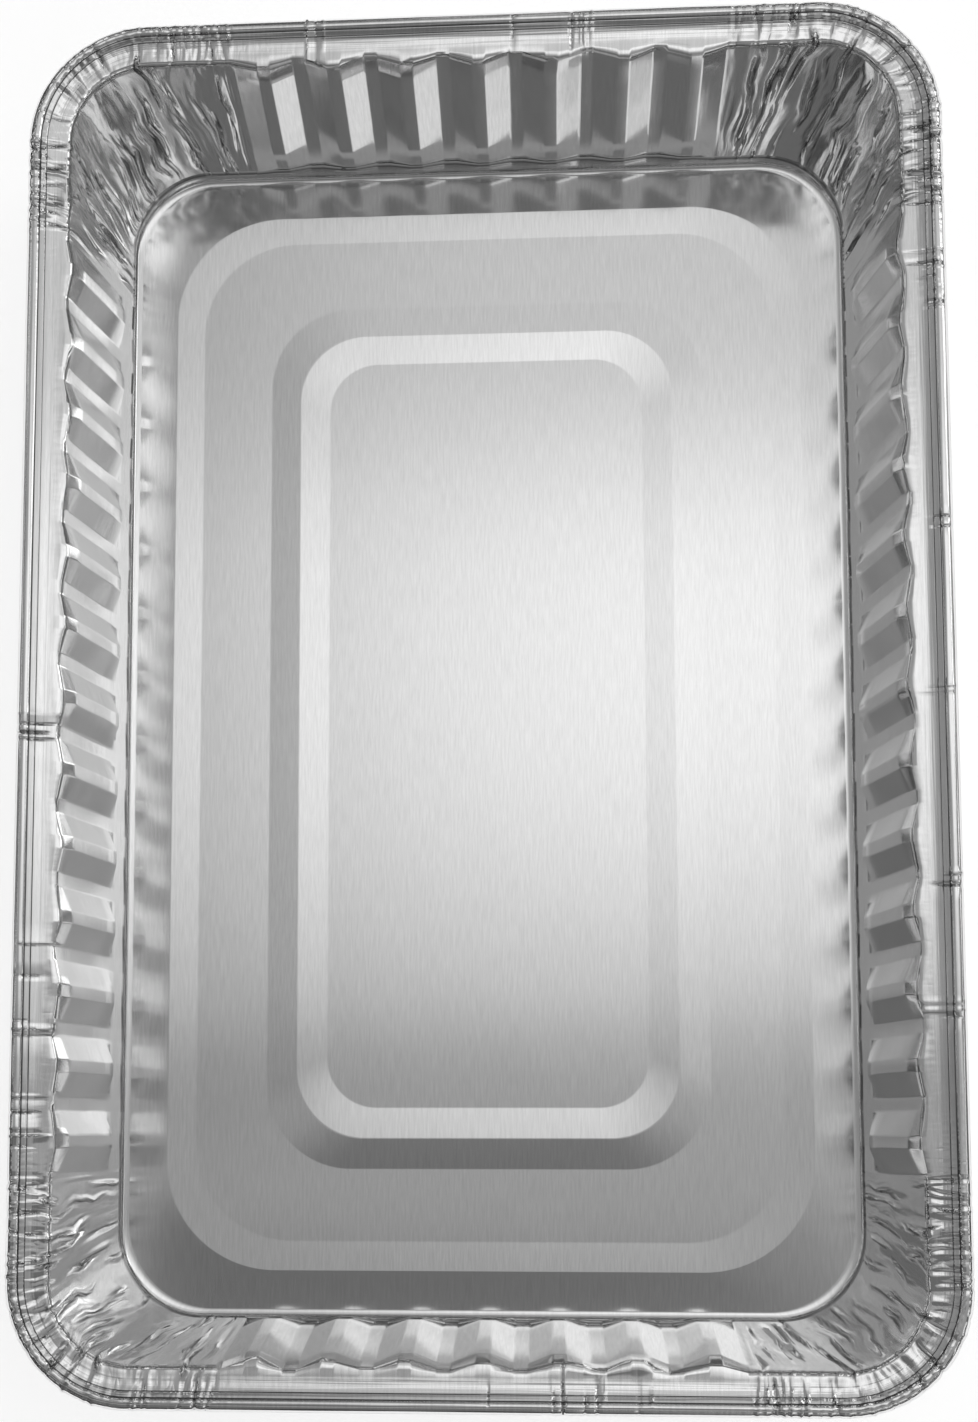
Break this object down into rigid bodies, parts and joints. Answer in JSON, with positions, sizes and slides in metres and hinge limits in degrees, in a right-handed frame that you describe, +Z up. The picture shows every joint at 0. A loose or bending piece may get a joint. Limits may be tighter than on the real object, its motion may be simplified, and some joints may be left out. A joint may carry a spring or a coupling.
{
  "type": "foil cake pan",
  "caption": "Disposable rectangular baking pan pressed from aluminium foil, with fluted walls, crumpled corners, a rolled rim and a floor stiffened by pressed bands.",
  "frame": {"origin": "middle of the underside of the foot that the pan stands on", "axes": "+X across the pan, +Y along the pan, +Z up out of its mouth"},
  "size_m": [0.218, 0.33, 0.049],
  "materials": {
    "foil": "satin rolled foil with fine streaks along the pan"
  },
  "bodies": {
    "root": {"foil_pan": "foil"}
  },
  "joints": []
}
